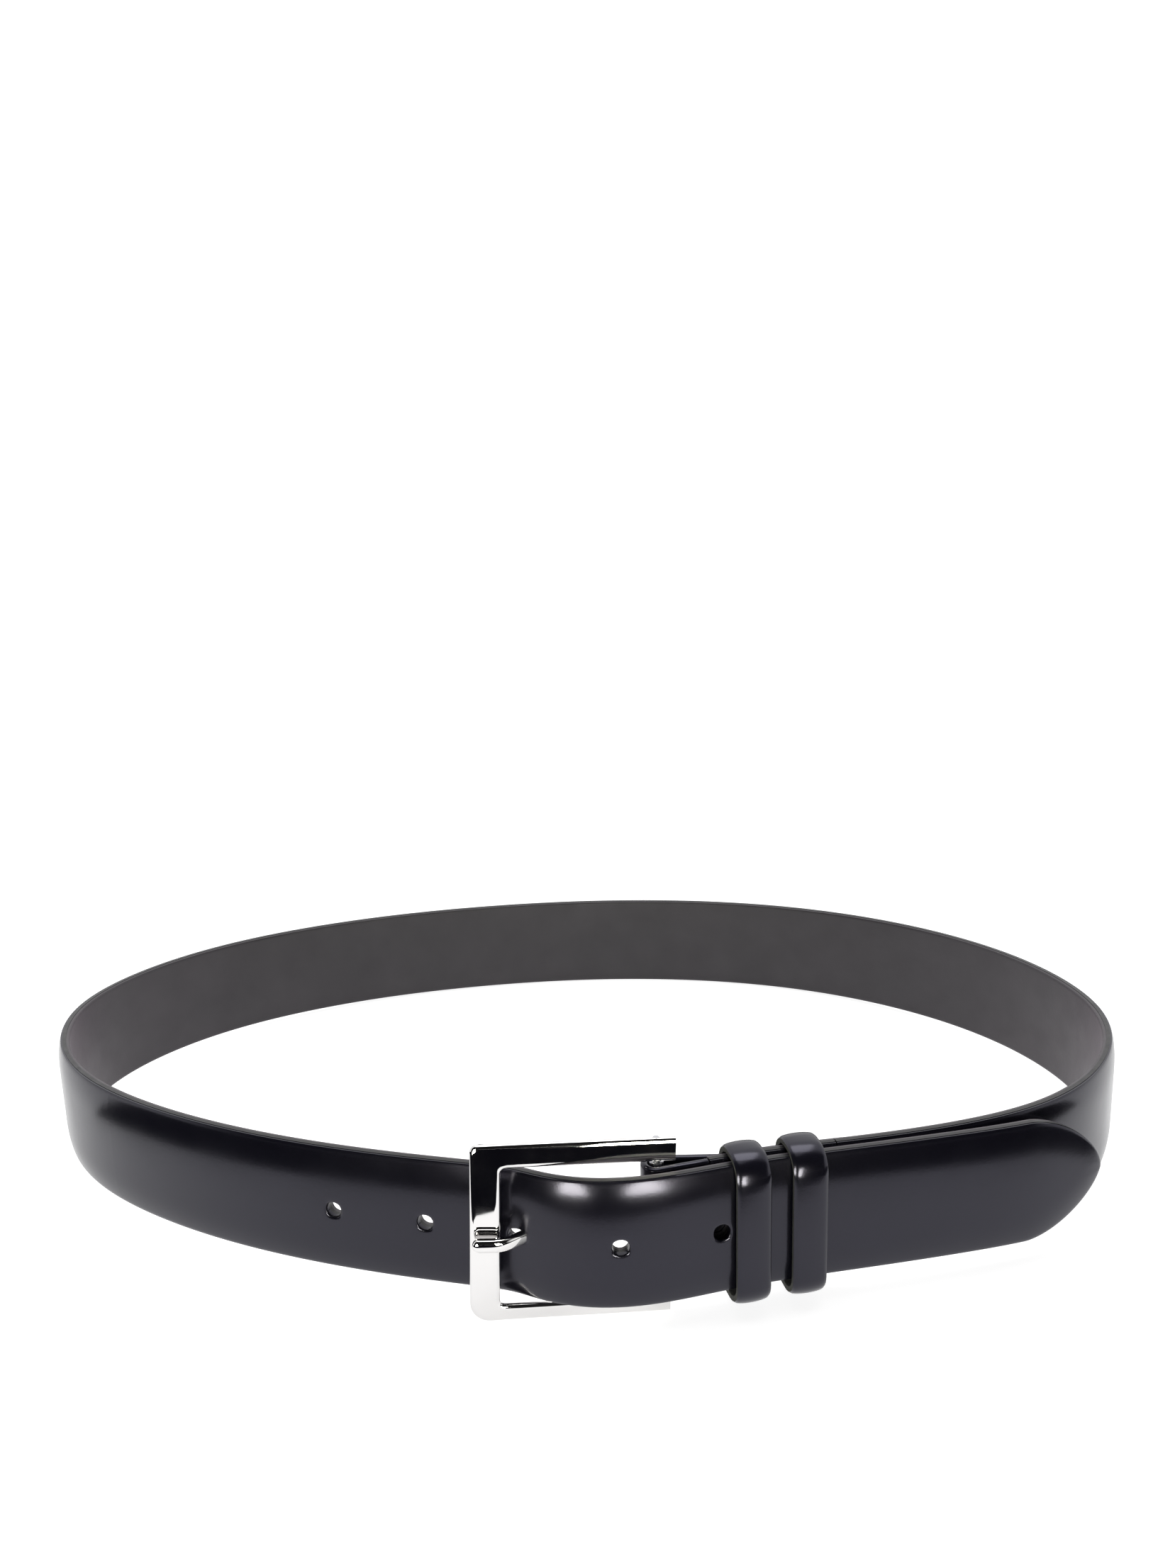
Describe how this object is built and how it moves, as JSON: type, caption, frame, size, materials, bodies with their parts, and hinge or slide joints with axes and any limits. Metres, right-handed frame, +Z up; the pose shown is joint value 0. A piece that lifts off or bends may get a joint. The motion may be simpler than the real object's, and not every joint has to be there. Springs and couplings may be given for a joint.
{
  "type": "dress belt",
  "caption": "Polished dark leather dress belt fastened in a loop, with a chromed single-prong rectangular buckle, two keepers and a pointed punched end.",
  "frame": {"origin": "middle of the bounding box, on the plane the belt stands on", "axes": "+Z up, across the strap width; +Y from the buckle to the back of the loop; +X along the front from the holes to the pointed end"},
  "size_m": [0.3424, 0.2218, 0.0514],
  "materials": {
    "face_leather": "polished, brushed off",
    "lining_leather": "smooth matt",
    "filler": "painted edge",
    "chrome": "mirror",
    "steel": "plain"
  },
  "bodies": {
    "fold_end": {"core_fold_side": "filler", "face_fold_side": "face_leather", "lining_fold_side": "lining_leather", "core_tail": "filler", "face_tail": "face_leather", "lining_tail": "lining_leather", "turned_back_end": "face_leather", "keeper_1": "face_leather", "keeper_2": "face_leather", "keeper_1_staple": "steel", "keeper_2_staple": "steel"},
    "buckle": {"core_left_side": "filler", "face_left_side": "face_leather", "lining_left_side": "lining_leather", "core_front_left": "filler", "face_front_left": "face_leather", "lining_front_left": "lining_leather", "buckle_frame": "chrome", "heel_bar": "steel"},
    "prong": {"prong": "chrome"},
    "rear_left": {"core_rear_left": "filler", "face_rear_left": "face_leather", "lining_rear_left": "lining_leather"},
    "rear_right": {"core_rear_right": "filler", "face_rear_right": "face_leather", "lining_rear_right": "lining_leather", "core_rear_middle": "filler", "face_rear_middle": "face_leather", "lining_rear_middle": "lining_leather"},
    "right_side": {"core_right_side": "filler", "face_right_side": "face_leather", "lining_right_side": "lining_leather"}
  },
  "joints": [
    {"name": "buckle_pivot", "type": "hinge", "parent": "fold_end", "child": "buckle", "pos_m": [0.027, -0.09854, 0.00717], "axis": [0, 0.0346, 0.9994], "range_deg": [-8, 8], "stiffness_Nm_per_rad": 0.04},
    {"name": "prong_pivot", "type": "hinge", "parent": "buckle", "child": "prong", "pos_m": [0.027, -0.09854, 0.00717], "axis": [0, 0.0346, 0.9994], "range_deg": [0, 1.2]},
    {"name": "left_bend", "type": "hinge", "parent": "buckle", "child": "rear_left", "pos_m": [-0.1692, 0.00499, 0.00359], "axis": [0, 0.0346, 0.9994], "range_deg": [-8, 8], "stiffness_Nm_per_rad": 0.04},
    {"name": "back_bend", "type": "hinge", "parent": "rear_left", "child": "rear_right", "pos_m": [-0.02706, 0.10453, 0.00014], "axis": [0, 0.0346, 0.9994], "range_deg": [-8, 8], "stiffness_Nm_per_rad": 0.04},
    {"name": "right_bend", "type": "hinge", "parent": "rear_right", "child": "right_side", "pos_m": [0.16915, 0.001, 0.00373], "axis": [0, 0.0346, 0.9994], "range_deg": [-8, 8], "stiffness_Nm_per_rad": 0.04}
  ],
  "couplings": [
    {"joint": "left_bend", "follows": "buckle_pivot", "ratio": -1},
    {"joint": "back_bend", "follows": "buckle_pivot", "ratio": 1},
    {"joint": "right_bend", "follows": "buckle_pivot", "ratio": -1}
  ]
}
